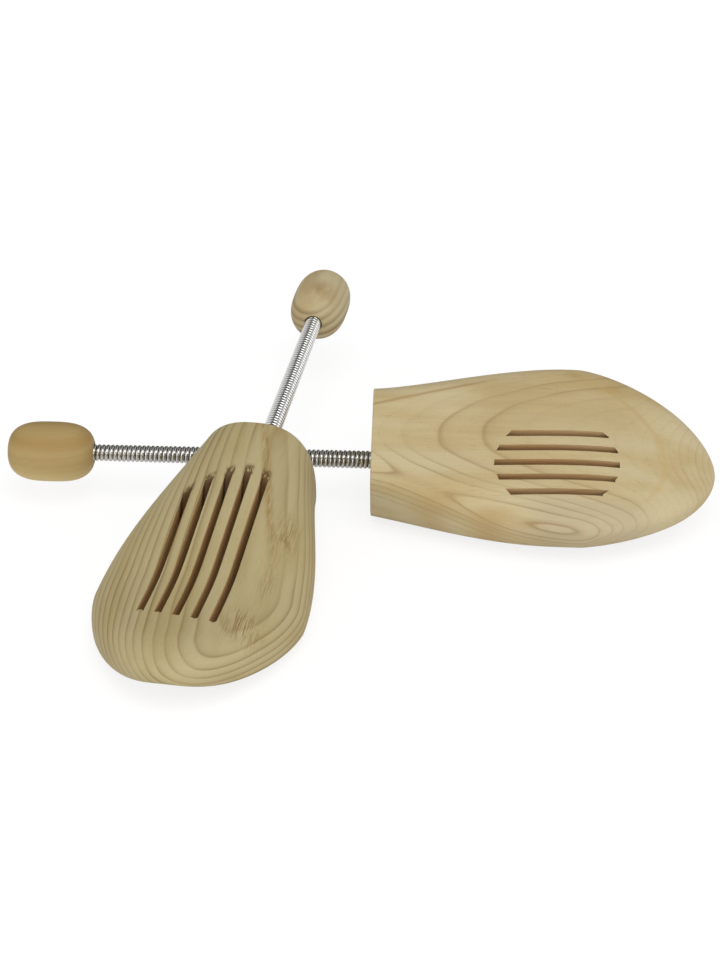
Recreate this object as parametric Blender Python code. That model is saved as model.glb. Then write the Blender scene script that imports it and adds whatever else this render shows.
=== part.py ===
"""A pair of spiral shoe trees: two pine forefoot blocks, two close springs and two turned heel knobs.

Metres, +Z up, origin on the table under the middle of the pair. Each tree is modelled in its own frame:
origin where the spring leaves the block's rear face, X towards the toe, Y to the wearer's left, Z to the instep.
The right tree lies sole up on its instep, and the left tree stands on its sole with its spring over the right one's.
"""

import math

import bmesh
import bpy
import numpy as np
from mathutils import Matrix, Vector

# Forefoot block, along its length
BLOCK_LENGTH = 0.1422
BALL_STATION = 0.0857
TOE_SPRING_START = 0.0667
TOE_ROUNDING = 0.0207

# Forefoot block, widths and the sideways shift of its middle towards the inner side of the foot
REAR_WIDTH = 0.0490
BALL_WIDTH = 0.0836
REAR_SHIFT = 0.0004
BALL_SHIFT = 0.0056
TOE_SHIFT = 0.0053

# Forefoot block, heights above the sole
REAR_HEIGHT = 0.0449
BALL_HEIGHT = 0.0285
TOE_HEIGHT = 0.0308
INSTEP_ROUNDING = 0.0018
TOE_SPRING = 0.0174
AXIS_HEIGHT = 0.0241

# Forefoot block, shares and powers that round it
WIDEST_LEVEL_SHARE = 0.30
SOLE_FLAT_SHARE = 0.51
INSTEP_POWER = 2.54
SOLE_EDGE_POWER = 2.7
REAR_FLARE_POWER = 1.2
TOE_PLAN_POWER = 1.41
TOE_PLAN_ROOT = 1.88
INSTEP_SLOPE_POWER = 1.3
TOE_SPRING_POWER = 2.4
TOE_ROUNDING_POWER = 2.5

# Ventilation slots: across the block, then their ends from the rear face on the sole and on the instep.
# The shortenings and skews are at the middle of the outermost slot, a skew's towards the inner side of the foot.
SLOT_COUNT = 5
SLOT_WIDTH = 0.0029
SLOT_PITCH = 0.0072
SLOT_YAW_DEG = -2.2
SLOT_SHIFT_LEFT = 0.0061
SLOT_SHIFT_RIGHT = 0.0154
SLOT_SOLE_START = 0.0500
SLOT_SOLE_END = 0.1003
SLOT_SOLE_SHORTENING = 0.0058
SLOT_TOP_START = 0.0281
SLOT_TOP_START_SKEW = 0.0054
SLOT_TOP_START_SHORTENING = 0.0040
SLOT_TOP_END = 0.1112
SLOT_TOP_END_SKEW = 0.0010
CUT_OVERRUN = 0.010

# Spring: wire, outer diameters at its two ends, length in the open, and how deep its ends sit
WIRE_DIAMETER = 0.0019
SPRING_FRONT_DIAMETER = 0.0077
SPRING_KNOB_DIAMETER = 0.0071
SPRING_FREE_LENGTH = 0.116
BLOCK_SEAT_DEPTH = 0.020
KNOB_SEAT_DEPTH = 0.016
SPRING_END_SWING = 0.0057
SEAT_GAP = 0.0003
SPRING_TURNS = 36
POINTS_PER_TURN = 8
SWING_STEPS = 4

# Heel knob
KNOB_LENGTH = 0.0365
KNOB_DIAMETER = 0.0251
KNOB_END_POWER = 3.0
KNOB_CORNER_POWER = 0.365

# How the pair lies: where the springs cross behind each rear face, and how the trees are turned
CROSSING_BEHIND_LEFT = 0.0188
CROSSING_BEHIND_RIGHT = 0.0435
CROSSING_GAP = 0.0003
LEFT_YAW_DEG = -100.3
LEFT_ROLL_DEG = 0.0
RIGHT_YAW_DEG = -2.0
RIGHT_ROLL_DEG = 205.7
RIGHT_LEAN_DEG = 0.6
STEEPEST_LEAN_DEG = 15.0

# Counts of the meshes
ARCH_STEPS = 20
EDGE_STEPS = 5
BLOCK_STEPS = 16
TOE_STEPS = 9
KNOB_SIDES = 24
KNOB_RINGS = 13
BORE_SIDES = 16
SEARCH_STEPS = 40

# Hinges that share the bend: a spring bent to an arc turns as if hinged at these shares of its open length
HINGE_SHARES = (1 / 6, 5 / 6)

SIDES = {"left": -1, "right": 1}


def clear_scene():
    for item in list(bpy.data.objects):
        bpy.data.objects.remove(item, do_unlink=True)


def material(name, color, roughness, metallic=0.0):
    mat = bpy.data.materials.new(name)
    mat.use_nodes = True
    shader = mat.node_tree.nodes["Principled BSDF"]
    shader.inputs["Base Color"].default_value = (*color, 1)
    shader.inputs["Roughness"].default_value = roughness
    shader.inputs["Metallic"].default_value = metallic
    return mat


def make_object(name, mesh, mat, angle_deg=35):
    mesh.materials.append(mat)
    mesh.shade_smooth()
    mesh.set_sharp_from_angle(angle=math.radians(angle_deg))
    item = bpy.data.objects.new(name, mesh)
    bpy.context.scene.collection.objects.link(item)
    return item


def make_empty(name):
    item = bpy.data.objects.new(name, None)
    bpy.context.scene.collection.objects.link(item)
    return item


def ring_mesh(name, rings, start_pole=None, end_pole=None):
    """A closed skin over rings of equal count; an end with a pole closes in a fan, one without in a flat face."""
    mesh = bmesh.new()
    rows = [[mesh.verts.new(point) for point in ring] for ring in rings]
    count = len(rows[0])
    for lower, upper in zip(rows, rows[1:]):
        for i in range(count):
            j = (i + 1) % count
            mesh.faces.new((lower[i], lower[j], upper[j], upper[i]))
    for row, pole, step in ((rows[0], start_pole, -1), (rows[-1], end_pole, 1)):
        if pole is None:
            mesh.faces.new(row[::step])
            continue
        tip = mesh.verts.new(pole)
        for i in range(count):
            pair = (row[i], row[(i + 1) % count])
            mesh.faces.new((*pair[::step], tip))
    bmesh.ops.recalc_face_normals(mesh, faces=mesh.faces)
    data = bpy.data.meshes.new(name)
    mesh.to_mesh(data)
    mesh.free()
    return data


def half_width(x):
    if x < BALL_STATION:
        flare = math.sin(x / BALL_STATION * math.pi / 2) ** REAR_FLARE_POWER
        return (REAR_WIDTH + (BALL_WIDTH - REAR_WIDTH) * flare) / 2
    toe = min((x - BALL_STATION) / (BLOCK_LENGTH - BALL_STATION), 1)
    return BALL_WIDTH / 2 * (1 - toe**TOE_PLAN_POWER) ** (1 / TOE_PLAN_ROOT)


def middle_shift(x):
    """Sideways place of the block's middle: a parabola through the shifts at the rear, the ball and the toe."""
    ball, tip = BALL_STATION, BLOCK_LENGTH
    at_rear = REAR_SHIFT * (x - ball) * (x - tip) / (ball * tip)
    at_ball = BALL_SHIFT * x * (x - tip) / (ball * (ball - tip))
    at_toe = TOE_SHIFT * x * (x - ball) / (tip * (tip - ball))
    return at_rear + at_ball + at_toe


def sole_rise(x):
    if x <= TOE_SPRING_START:
        return 0.0
    return TOE_SPRING * ((x - TOE_SPRING_START) / (BLOCK_LENGTH - TOE_SPRING_START)) ** TOE_SPRING_POWER


def instep_height(x):
    """Two slopes that meet at the ball, rounded into one another."""
    meeting = BALL_HEIGHT - INSTEP_ROUNDING
    falling = REAR_HEIGHT + (meeting - REAR_HEIGHT) * (x / BALL_STATION) ** INSTEP_SLOPE_POWER
    toe_slope = (TOE_HEIGHT - meeting) / (BLOCK_LENGTH - BALL_STATION)
    toe = meeting + toe_slope * (x - BALL_STATION)
    return (falling + toe) / 2 + math.hypot((falling - toe) / 2, INSTEP_ROUNDING)


def toe_closing(x):
    """How far the block's height closes in to its widest level over the rounding of the toe."""
    into = max((x - (BLOCK_LENGTH - TOE_ROUNDING)) / TOE_ROUNDING, 0)
    return max(1 - into**TOE_ROUNDING_POWER, 0) ** 0.5


def widest_level(x):
    sole = sole_rise(x)
    return sole + (instep_height(x) - sole) * WIDEST_LEVEL_SHARE


def block_section(x, side):
    """One closed section: the instep's arch, then one sole edge, the flat sole and the other edge."""
    wide, shift, level = half_width(x), middle_shift(x), widest_level(x)
    rise = (instep_height(x) - level) * toe_closing(x)
    drop = (level - sole_rise(x)) * toe_closing(x)
    flat = wide * SOLE_FLAT_SHARE
    points = []
    for i in range(ARCH_STEPS + 1):
        turn = math.pi * i / ARCH_STEPS
        across, up = math.cos(turn), math.sin(turn)
        y = math.copysign(abs(across) ** (2 / INSTEP_POWER), across) * wide
        points.append((y, level + rise * max(up, 0) ** (2 / INSTEP_POWER)))
    edge = []
    for i in range(1, EDGE_STEPS + 1):
        turn = math.pi / 2 * i / EDGE_STEPS
        out = max(math.cos(turn), 0) ** (2 / SOLE_EDGE_POWER)
        down = math.sin(turn) ** (2 / SOLE_EDGE_POWER)
        edge.append((flat + (wide - flat) * out, level - drop * down))
    points += [(-y, z) for y, z in edge]
    points.append((0.0, level - drop))
    points += edge[::-1]
    return [(x, side * (y + shift), z - AXIS_HEIGHT) for y, z in points]


def block_stations():
    """Even steps to the toe's rounding, then steps that close up towards the tip."""
    start = BLOCK_LENGTH - TOE_ROUNDING
    even = [start * i / BLOCK_STEPS for i in range(BLOCK_STEPS)]
    toe = [start + TOE_ROUNDING * math.sin(math.pi / 2 * i / TOE_STEPS) for i in range(TOE_STEPS)]
    return even + toe


def block_mesh(name, side):
    tip_level = widest_level(BLOCK_LENGTH) - AXIS_HEIGHT
    tip = (BLOCK_LENGTH, side * middle_shift(BLOCK_LENGTH), tip_level)
    return ring_mesh(name, [block_section(x, side) for x in block_stations()], end_pole=tip)


def slot_profile(across):
    """Side view of a slot at a share across the pattern, from -1 at its outer side to 1 at its inner side."""
    short = SLOT_SOLE_SHORTENING * across**2
    sole_start, sole_end = SLOT_SOLE_START + short, SLOT_SOLE_END - short
    top_start = SLOT_TOP_START + SLOT_TOP_START_SKEW * across + SLOT_TOP_START_SHORTENING * across**2
    top_end = SLOT_TOP_END - SLOT_TOP_END_SKEW * across
    start_slope = (sole_start - top_start) / REAR_HEIGHT
    end_slope = (top_end - sole_end) / BALL_HEIGHT
    above = REAR_HEIGHT + CUT_OVERRUN
    return [
        (sole_start + start_slope * CUT_OVERRUN, -CUT_OVERRUN - AXIS_HEIGHT),
        (sole_end - end_slope * CUT_OVERRUN, -CUT_OVERRUN - AXIS_HEIGHT),
        (sole_end + end_slope * above, above - AXIS_HEIGHT),
        (sole_start - start_slope * above, above - AXIS_HEIGHT),
    ]


def slot_cutter(name, side, shift):
    """Five upright slabs in one mesh, long on the instep and shorter on the sole, both trees' turned the same way."""
    mesh = bmesh.new()
    outermost = max((SLOT_COUNT - 1) / 2, 1) * SLOT_PITCH
    turn = math.tan(math.radians(SLOT_YAW_DEG))
    middle_x = (SLOT_SOLE_START + SLOT_SOLE_END) / 2
    for i in range(SLOT_COUNT):
        from_middle = (i - (SLOT_COUNT - 1) / 2) * SLOT_PITCH
        faces = []
        for inward in (from_middle - SLOT_WIDTH / 2, from_middle + SLOT_WIDTH / 2):
            y = side * (shift + inward)
            profile = slot_profile(inward / outermost)
            faces.append([mesh.verts.new((x, y + turn * (x - middle_x), z)) for x, z in profile])
        mesh.faces.new(faces[0])
        mesh.faces.new(faces[1][::-1])
        for j in range(len(faces[0])):
            k = (j + 1) % len(faces[0])
            mesh.faces.new((faces[0][k], faces[0][j], faces[1][j]))
            mesh.faces.new((faces[0][k], faces[1][j], faces[1][k]))
    bmesh.ops.recalc_face_normals(mesh, faces=mesh.faces)
    data = bpy.data.meshes.new(name)
    mesh.to_mesh(data)
    mesh.free()
    cutter = bpy.data.objects.new(name, data)
    bpy.context.scene.collection.objects.link(cutter)
    return cutter


def bore_cutter(name, radius, start, end):
    """A round bar along X from start to end."""
    rings = []
    for x in (start, end):
        turns = [2 * math.pi * i / BORE_SIDES for i in range(BORE_SIDES)]
        rings.append([(x, radius * math.cos(t), radius * math.sin(t)) for t in turns])
    cutter = bpy.data.objects.new(name, ring_mesh(name, rings))
    bpy.context.scene.collection.objects.link(cutter)
    return cutter


def cut(item, cutter):
    cutter.hide_render = True
    cutter.display_type = "WIRE"
    cutter.parent = item
    boolean = item.modifiers.new(cutter.name, "BOOLEAN")
    boolean.operation = "DIFFERENCE"
    boolean.solver = "EXACT"
    boolean.object = cutter


def spring_diameter(x):
    """Outer diameter at a place along the spring, X counted back from the block's rear face."""
    share = -x / SPRING_FREE_LENGTH
    return SPRING_FRONT_DIAMETER + (SPRING_KNOB_DIAMETER - SPRING_FRONT_DIAMETER) * share


def bore_radius(*ends):
    """The wider end of the spring's seated stretch, with the gap round it on the bore's flats."""
    widest = max(spring_diameter(x) for x in ends) / 2
    return (widest + SEAT_GAP) / math.cos(math.pi / BORE_SIDES)


def forefoot(name, side, slot_shift, mat):
    item = make_object(name, block_mesh(name, side), mat)
    cut(item, slot_cutter(name + "_slots", side, slot_shift))
    radius = bore_radius(0, BLOCK_SEAT_DEPTH)
    cut(item, bore_cutter(name + "_bore", radius, -CUT_OVERRUN, BLOCK_SEAT_DEPTH))
    return item


def knob_radius(share):
    """Barrel outline: a blunt, round-shouldered bulge from share 0 at one end to 1 at the other."""
    bulge = 1 - abs(2 * share - 1) ** KNOB_END_POWER
    return KNOB_DIAMETER / 2 * max(bulge, 0) ** KNOB_CORNER_POWER


def knob(name, mat, origin_x):
    """Heel knob behind the spring, its mesh counted from origin_x, the hinge it turns on."""
    near = -SPRING_FREE_LENGTH - origin_x
    rings = []
    for i in range(1, KNOB_RINGS):
        share = (1 - math.cos(math.pi * i / KNOB_RINGS)) / 2
        radius = knob_radius(share)
        turns = [2 * math.pi * k / KNOB_SIDES for k in range(KNOB_SIDES)]
        rings.append([(near - share * KNOB_LENGTH, radius * math.cos(t), radius * math.sin(t)) for t in turns])
    mesh = ring_mesh(name, rings, start_pole=(near, 0, 0), end_pole=(near - KNOB_LENGTH, 0, 0))
    item = make_object(name, mesh, mat)
    radius = bore_radius(-SPRING_FREE_LENGTH)
    cut(item, bore_cutter(name + "_bore", radius, near - KNOB_SEAT_DEPTH, near + CUT_OVERRUN))
    return item


def spring_route():
    """Points of the wire's middle from the block's bore to the knob's.

    The wire turns at an even pitch. Over its first and last stretch it swings between the coil's slope
    and the spring's own direction, so both ends run straight and meet the floors of the bores square.
    """
    first = BLOCK_SEAT_DEPTH - SEAT_GAP
    last = -SPRING_FREE_LENGTH - KNOB_SEAT_DEPTH + SEAT_GAP
    mean = (spring_diameter(0) - WIRE_DIAMETER) / 2
    slope = math.atan2((first - last) / SPRING_TURNS, 2 * math.pi * mean)
    end_x = [WIRE_DIAMETER / 2] * 2
    end_turns = [0.0] * 2
    for i in range(SWING_STEPS):
        angle = math.pi / 2 + (slope - math.pi / 2) * (i + 0.5) / SWING_STEPS
        end_x.append(SPRING_END_SWING / SWING_STEPS * math.sin(angle))
        end_turns.append(SPRING_END_SWING / SWING_STEPS * math.cos(angle) / mean)
    steps = SPRING_TURNS * POINTS_PER_TURN
    even = (first - last - 2 * sum(end_x)) / steps
    x_steps = [0.0] + end_x + [even] * steps + end_x[::-1]
    turn_steps = [0.0] + end_turns + [2 * math.pi / POINTS_PER_TURN] * steps + end_turns[::-1]
    points = []
    for x, turn in zip(first - np.cumsum(x_steps), np.cumsum(turn_steps)):
        radius = (spring_diameter(x) - WIRE_DIAMETER) / 2
        points.append((x, radius * math.cos(turn), radius * math.sin(turn)))
    return points


def least_gap(points):
    """Clear distance between the wire and itself, over points at least half a turn apart."""
    places = np.array(points)
    apart = POINTS_PER_TURN // 2
    gaps = [np.linalg.norm(places[i + apart:] - places[i], axis=1).min() for i in range(len(places) - apart)]
    return min(gaps) - WIRE_DIAMETER


def spring(name, mat, origin_x):
    curve = bpy.data.curves.new(name, "CURVE")
    curve.dimensions = "3D"
    curve.bevel_depth = WIRE_DIAMETER / 2
    curve.bevel_resolution = 1
    curve.use_fill_caps = True
    points = spring_route()
    line = curve.splines.new("POLY")
    line.points.add(len(points) - 1)
    for target, (x, y, z) in zip(line.points, points):
        target.co = (x - origin_x, y, z, 1)
    line.use_smooth = True
    curve.materials.append(mat)
    item = bpy.data.objects.new(name, curve)
    bpy.context.scene.collection.objects.link(item)
    print(f"{name}: least gap of the wire to itself {least_gap(points) * 1000:.2f} mm")
    return item


def world_points(item, place):
    return np.array([place @ vertex.co for vertex in item.data.vertices])


def turned(yaw_deg, lean, roll_deg):
    """Turn of a tree: rolled about its spring, leaned nose down by an angle in radians, then yawed."""
    yaw, roll = math.radians(yaw_deg), math.radians(roll_deg)
    return Matrix.Rotation(yaw, 4, "Z") @ Matrix.Rotation(lean, 4, "Y") @ Matrix.Rotation(roll, 4, "X")


def root_of(function, low, high):
    """Where a rising or falling function crosses zero between low and high, by halving."""
    falling = function(low) > 0
    for _ in range(SEARCH_STEPS):
        middle = (low + high) / 2
        if (function(middle) > 0) == falling:
            low = middle
        else:
            high = middle
    return (low + high) / 2


def axis_height(block, turn, behind):
    """Height above the table of the spring's axis at a distance behind the rear face of a resting block."""
    lowest = world_points(block, turn)[:, 2].min()
    return (turn @ Vector((-behind, 0, 0))).z - lowest


def crossing_height():
    """Distance between the springs' axes where the left spring lies over the right one."""
    left = spring_diameter(-CROSSING_BEHIND_LEFT)
    right = spring_diameter(-CROSSING_BEHIND_RIGHT)
    return (left + right) / 2 + CROSSING_GAP


def propped_lean(block, height):
    """Lean at which the left block, on its sole, holds its spring at a height where the springs cross."""

    def difference(lean):
        turn = turned(LEFT_YAW_DEG, lean, LEFT_ROLL_DEG)
        return axis_height(block, turn, CROSSING_BEHIND_LEFT) - height

    return root_of(difference, 0.0, math.radians(STEEPEST_LEAN_DEG))


def placed(block, turn, behind):
    """Full place of a tree, with the crossing point of the springs over the world's origin."""
    crossing = turn @ Vector((-behind, 0, 0))
    height = axis_height(block, turn, 0)
    return Matrix.Translation((-crossing.x, -crossing.y, height)) @ turn


def build_tree(name, slot_shift, wood, knob_wood, steel):
    """One tree in its own frame under an empty, the spring and the knob each on its hinge."""
    side = SIDES[name]
    front_hinge, knob_hinge = (-share * SPRING_FREE_LENGTH for share in HINGE_SHARES)
    holder = make_empty(name + "_tree")
    pieces = {
        "forefoot": (forefoot(name + "_forefoot", side, slot_shift, wood), 0.0),
        "spring": (spring(name + "_spring", steel, front_hinge), front_hinge),
        "knob": (knob(name + "_knob", knob_wood, knob_hinge), knob_hinge),
    }
    for item, x in pieces.values():
        item.parent = holder
        item.location = (x, 0, 0)
    return holder, pieces["forefoot"][0]


def centre_pair(trees):
    """Moves the pair so that its bounding box is centred over the origin."""
    bpy.context.view_layer.update()
    depsgraph = bpy.context.evaluated_depsgraph_get()
    corners = []
    for holder in trees:
        for item in holder.children:
            evaluated = item.evaluated_get(depsgraph)
            mesh = evaluated.to_mesh()
            corners += [item.matrix_world @ vertex.co for vertex in mesh.vertices]
            evaluated.to_mesh_clear()
    corners = np.array(corners)
    middle = (corners.min(axis=0) + corners.max(axis=0)) / 2
    for holder in trees:
        holder.matrix_world = Matrix.Translation((-middle[0], -middle[1], 0)) @ holder.matrix_world
    bpy.context.view_layer.update()


def main():
    clear_scene()
    pine = material("pine", (0.62, 0.48, 0.28), 0.55)
    knob_pine = material("knob_pine", (0.55, 0.38, 0.18), 0.50)
    steel = material("spring_steel", (0.62, 0.62, 0.60), 0.25, 1.0)
    left, left_block = build_tree("left", SLOT_SHIFT_LEFT, pine, knob_pine, steel)
    right, right_block = build_tree("right", SLOT_SHIFT_RIGHT, pine, knob_pine, steel)

    right_turn = turned(RIGHT_YAW_DEG, math.radians(RIGHT_LEAN_DEG), RIGHT_ROLL_DEG)
    height = axis_height(right_block, right_turn, CROSSING_BEHIND_RIGHT) + crossing_height()
    left_turn = turned(LEFT_YAW_DEG, propped_lean(left_block, height), LEFT_ROLL_DEG)
    right.matrix_world = placed(right_block, right_turn, CROSSING_BEHIND_RIGHT)
    left.matrix_world = placed(left_block, left_turn, CROSSING_BEHIND_LEFT)
    centre_pair((left, right))


main()
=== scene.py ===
"""Looks of the pair of spiral shoe trees: fine pine blocks and knobs, close-wound springs, light, camera and floor.

Each tree has its own frame, as in the CAD: origin where the spring leaves the block's rear face, X towards the toe,
Y to the wearer's left, Z to the instep. All lengths are in metres.
"""

import math

import bmesh
import bpy
import numpy as np
from mathutils import Matrix, Vector


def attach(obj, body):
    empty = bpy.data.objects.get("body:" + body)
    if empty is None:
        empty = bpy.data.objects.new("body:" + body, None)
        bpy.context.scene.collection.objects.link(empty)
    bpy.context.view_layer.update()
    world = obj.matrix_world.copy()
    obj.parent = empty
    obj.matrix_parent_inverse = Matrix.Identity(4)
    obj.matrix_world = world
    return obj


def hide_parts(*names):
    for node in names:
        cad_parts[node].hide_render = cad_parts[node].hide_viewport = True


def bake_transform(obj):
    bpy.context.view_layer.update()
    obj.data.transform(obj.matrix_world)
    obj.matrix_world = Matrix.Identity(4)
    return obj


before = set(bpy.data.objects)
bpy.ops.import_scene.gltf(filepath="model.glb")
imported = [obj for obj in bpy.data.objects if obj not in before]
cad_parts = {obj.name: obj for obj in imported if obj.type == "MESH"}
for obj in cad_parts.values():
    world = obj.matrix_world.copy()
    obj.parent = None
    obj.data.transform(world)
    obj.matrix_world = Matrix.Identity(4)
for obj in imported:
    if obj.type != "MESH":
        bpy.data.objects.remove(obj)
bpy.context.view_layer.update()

# ---------------------------------------------------------------- sizes, as the CAD has them

BLOCK_LENGTH, BALL_STATION, TOE_SPRING_START, TOE_ROUNDING = 0.1422, 0.0857, 0.0667, 0.0207
REAR_WIDTH, BALL_WIDTH = 0.0490, 0.0836
REAR_SHIFT, BALL_SHIFT, TOE_SHIFT = 0.0004, 0.0056, 0.0053
REAR_HEIGHT, BALL_HEIGHT, TOE_HEIGHT = 0.0449, 0.0285, 0.0308
INSTEP_ROUNDING, TOE_SPRING, AXIS_HEIGHT = 0.0018, 0.0174, 0.0241
WIDEST_LEVEL_SHARE, SOLE_FLAT_SHARE = 0.30, 0.51
INSTEP_POWER, SOLE_EDGE_POWER, REAR_FLARE_POWER = 2.54, 2.7, 1.2
TOE_PLAN_POWER, TOE_PLAN_ROOT = 1.41, 1.88
INSTEP_SLOPE_POWER, TOE_SPRING_POWER, TOE_ROUNDING_POWER = 1.3, 2.4, 2.5
SLOT_COUNT, SLOT_WIDTH, SLOT_PITCH = 5, 0.0029, 0.0072
SLOT_SHIFT, SLOT_YAW_DEG = {"left": 0.0061, "right": 0.0154}, -2.2
SLOT_SOLE, SLOT_SOLE_SHORTENING = (0.0500, 0.1003), 0.0058
SLOT_TOP, SLOT_TOP_SKEWS, SLOT_TOP_SHORTENING = (0.0281, 0.1112), (0.0054, -0.0010), 0.0040
CUT_OVERRUN = 0.010
WIRE_DIAMETER = 0.0019
SPRING_DIAMETERS = (0.0077, 0.0071)
SPRING_LENGTH, BLOCK_SEAT, KNOB_SEAT, SEAT_GAP = 0.116, 0.020, 0.016, 0.0003
KNOB_LENGTH, KNOB_DIAMETER, KNOB_END_POWER, KNOB_CORNER_POWER = 0.0365, 0.0251, 3.0, 0.365
SIDES = {"left": -1, "right": 1}

# Where each tree lies: its origin and its X, Y and Z axes
PLACES = {
    "left": (
        (-0.04158, -0.00571, 0.02938),
        (-0.178369, -0.981501, -0.069573),
        (0.983885, -0.178802, 0.0),
        (-0.01244, -0.068452, 0.997577),
    ),
    "right": (
        (0.00525, 0.01123, 0.02239),
        (0.999336, -0.034898, -0.010472),
        (-0.035986, -0.90037, -0.433635),
        (0.005704, 0.433724, -0.901028),
    ),
}

# Only the looks need these
EDGE_ROUNDING = 0.0005
CLOSE_PITCH, CLOSE_WIRE = 0.00187, 0.00185
# The left spring's first bend starts past the block, or it would sag onto the right spring that crosses under it
FRONT_BEND, REAR_BEND = {"left": (0.06, 0.35), "right": (0, 1 / 3)}, (2 / 3, 1)
KNOB_RIM, KNOB_RIM_SHARE = 0.0004, 0.8
SLOT_TURN, SLOT_MIDDLE = math.tan(math.radians(SLOT_YAW_DEG)), sum(SLOT_SOLE) / 2

# How finely the shapes are divided, and the angles up to which they are shaded smooth
ROUNDING_STEPS, BLOCK_STEPS, TOE_STEPS = 6, 110, 40
ARCH_STEPS, EDGE_STEPS, FLAT_STEPS = 96, 26, 10
BORE_SIDES, KNOB_SIDES, KNOB_STEPS, KNOB_SEARCH_STEP = 64, 96, 84, 0.00002
COIL_STEPS, WIRE_SIDES = 28, 12
SMOOTH_DEG, WIRE_SMOOTH_DEG = 40, 60


def place_of(side):
    """The matrix that puts a tree's own frame where the tree lies."""
    origin, x, y, z = PLACES[side]
    turn = Matrix((x, y, z)).transposed().to_4x4()
    return Matrix.Translation(origin) @ turn


# ---------------------------------------------------------------- shapes


def half_width(x):
    """Half of the block's width at a station."""
    if x < BALL_STATION:
        flare = math.sin(x / BALL_STATION * math.pi / 2) ** REAR_FLARE_POWER
        return (REAR_WIDTH + (BALL_WIDTH - REAR_WIDTH) * flare) / 2
    toe = min((x - BALL_STATION) / (BLOCK_LENGTH - BALL_STATION), 1)
    return BALL_WIDTH / 2 * (1 - toe**TOE_PLAN_POWER) ** (1 / TOE_PLAN_ROOT)


def middle_shift(x):
    """How far a section's middle lies off the axis: a curve through the rear, the ball and the toe."""
    ball, tip = BALL_STATION, BLOCK_LENGTH
    at_rear = REAR_SHIFT * (x - ball) * (x - tip) / (ball * tip)
    at_ball = BALL_SHIFT * x * (x - tip) / (ball * (ball - tip))
    at_toe = TOE_SHIFT * x * (x - ball) / (tip * (tip - ball))
    return at_rear + at_ball + at_toe


def sole_rise(x):
    """How far the sole has risen towards the toe."""
    if x <= TOE_SPRING_START:
        return 0.0
    share = (x - TOE_SPRING_START) / (BLOCK_LENGTH - TOE_SPRING_START)
    return TOE_SPRING * share**TOE_SPRING_POWER


def instep_height(x):
    """Height of the instep: a falling curve and the toe's line, rounded where they meet."""
    meeting = BALL_HEIGHT - INSTEP_ROUNDING
    falling = REAR_HEIGHT + (meeting - REAR_HEIGHT) * (x / BALL_STATION) ** INSTEP_SLOPE_POWER
    toe = meeting + (TOE_HEIGHT - meeting) / (BLOCK_LENGTH - BALL_STATION) * (x - BALL_STATION)
    return (falling + toe) / 2 + math.hypot((falling - toe) / 2, INSTEP_ROUNDING)


def toe_closing(x):
    """The share of its height that a section keeps, falling to none at the toe."""
    into = max((x - (BLOCK_LENGTH - TOE_ROUNDING)) / TOE_ROUNDING, 0)
    return max(1 - into**TOE_ROUNDING_POWER, 0) ** 0.5


def widest_level(x):
    """The height at which a section is widest."""
    sole = sole_rise(x)
    return sole + (instep_height(x) - sole) * WIDEST_LEVEL_SHARE


def block_section(x, side, inset=0.0):
    """One closed section of the block, drawn in by an inset where the rear edge is rounded."""
    wide, shift, level = half_width(x), middle_shift(x), widest_level(x)
    rise = (instep_height(x) - level) * toe_closing(x) - inset
    drop = (level - sole_rise(x)) * toe_closing(x) - inset
    flat = wide * SOLE_FLAT_SHARE
    wide -= inset
    points = []
    for i in range(ARCH_STEPS + 1):
        turn = math.pi * i / ARCH_STEPS
        across, up = math.cos(turn), math.sin(turn)
        y = math.copysign(abs(across) ** (2 / INSTEP_POWER), across) * wide
        points.append((y, level + rise * max(up, 0) ** (2 / INSTEP_POWER)))
    edge = []
    for i in range(1, EDGE_STEPS + 1):
        turn = math.pi / 2 * i / EDGE_STEPS
        out = max(math.cos(turn), 0) ** (2 / SOLE_EDGE_POWER)
        down = math.sin(turn) ** (2 / SOLE_EDGE_POWER)
        edge.append((flat + (wide - flat) * out, level - drop * down))
    points += [(-y, z) for y, z in edge]
    points += [(-flat + 2 * flat * i / FLAT_STEPS, level - drop) for i in range(1, FLAT_STEPS)]
    points += edge[::-1]
    return [(x, side * (y + shift), z - AXIS_HEIGHT) for y, z in points]


def block_rings(side):
    """Sections from the rounded rear edge to the toe."""
    rings = []
    for i in range(ROUNDING_STEPS, -1, -1):
        turn = math.pi / 2 * i / ROUNDING_STEPS
        station, inset = EDGE_ROUNDING * (1 - math.sin(turn)), EDGE_ROUNDING * (1 - math.cos(turn))
        rings.append(block_section(station, side, inset))
    start = BLOCK_LENGTH - TOE_ROUNDING
    stations = [EDGE_ROUNDING + (start - EDGE_ROUNDING) * i / BLOCK_STEPS for i in range(1, BLOCK_STEPS)]
    stations += [start + TOE_ROUNDING * math.sin(math.pi / 2 * i / TOE_STEPS) for i in range(TOE_STEPS)]
    return rings + [block_section(x, side) for x in stations]


def mesh_from(name, verts, faces, angle_deg=SMOOTH_DEG):
    """A mesh with its faces turned outwards, smooth but at sharp edges."""
    mesh = bpy.data.meshes.new(name)
    mesh.from_pydata([tuple(v) for v in verts], [], faces)
    mesh.update()
    work = bmesh.new()
    work.from_mesh(mesh)
    bmesh.ops.recalc_face_normals(work, faces=work.faces)
    work.to_mesh(mesh)
    work.free()
    mesh.shade_smooth()
    mesh.set_sharp_from_angle(angle=math.radians(angle_deg))
    return mesh


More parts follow.
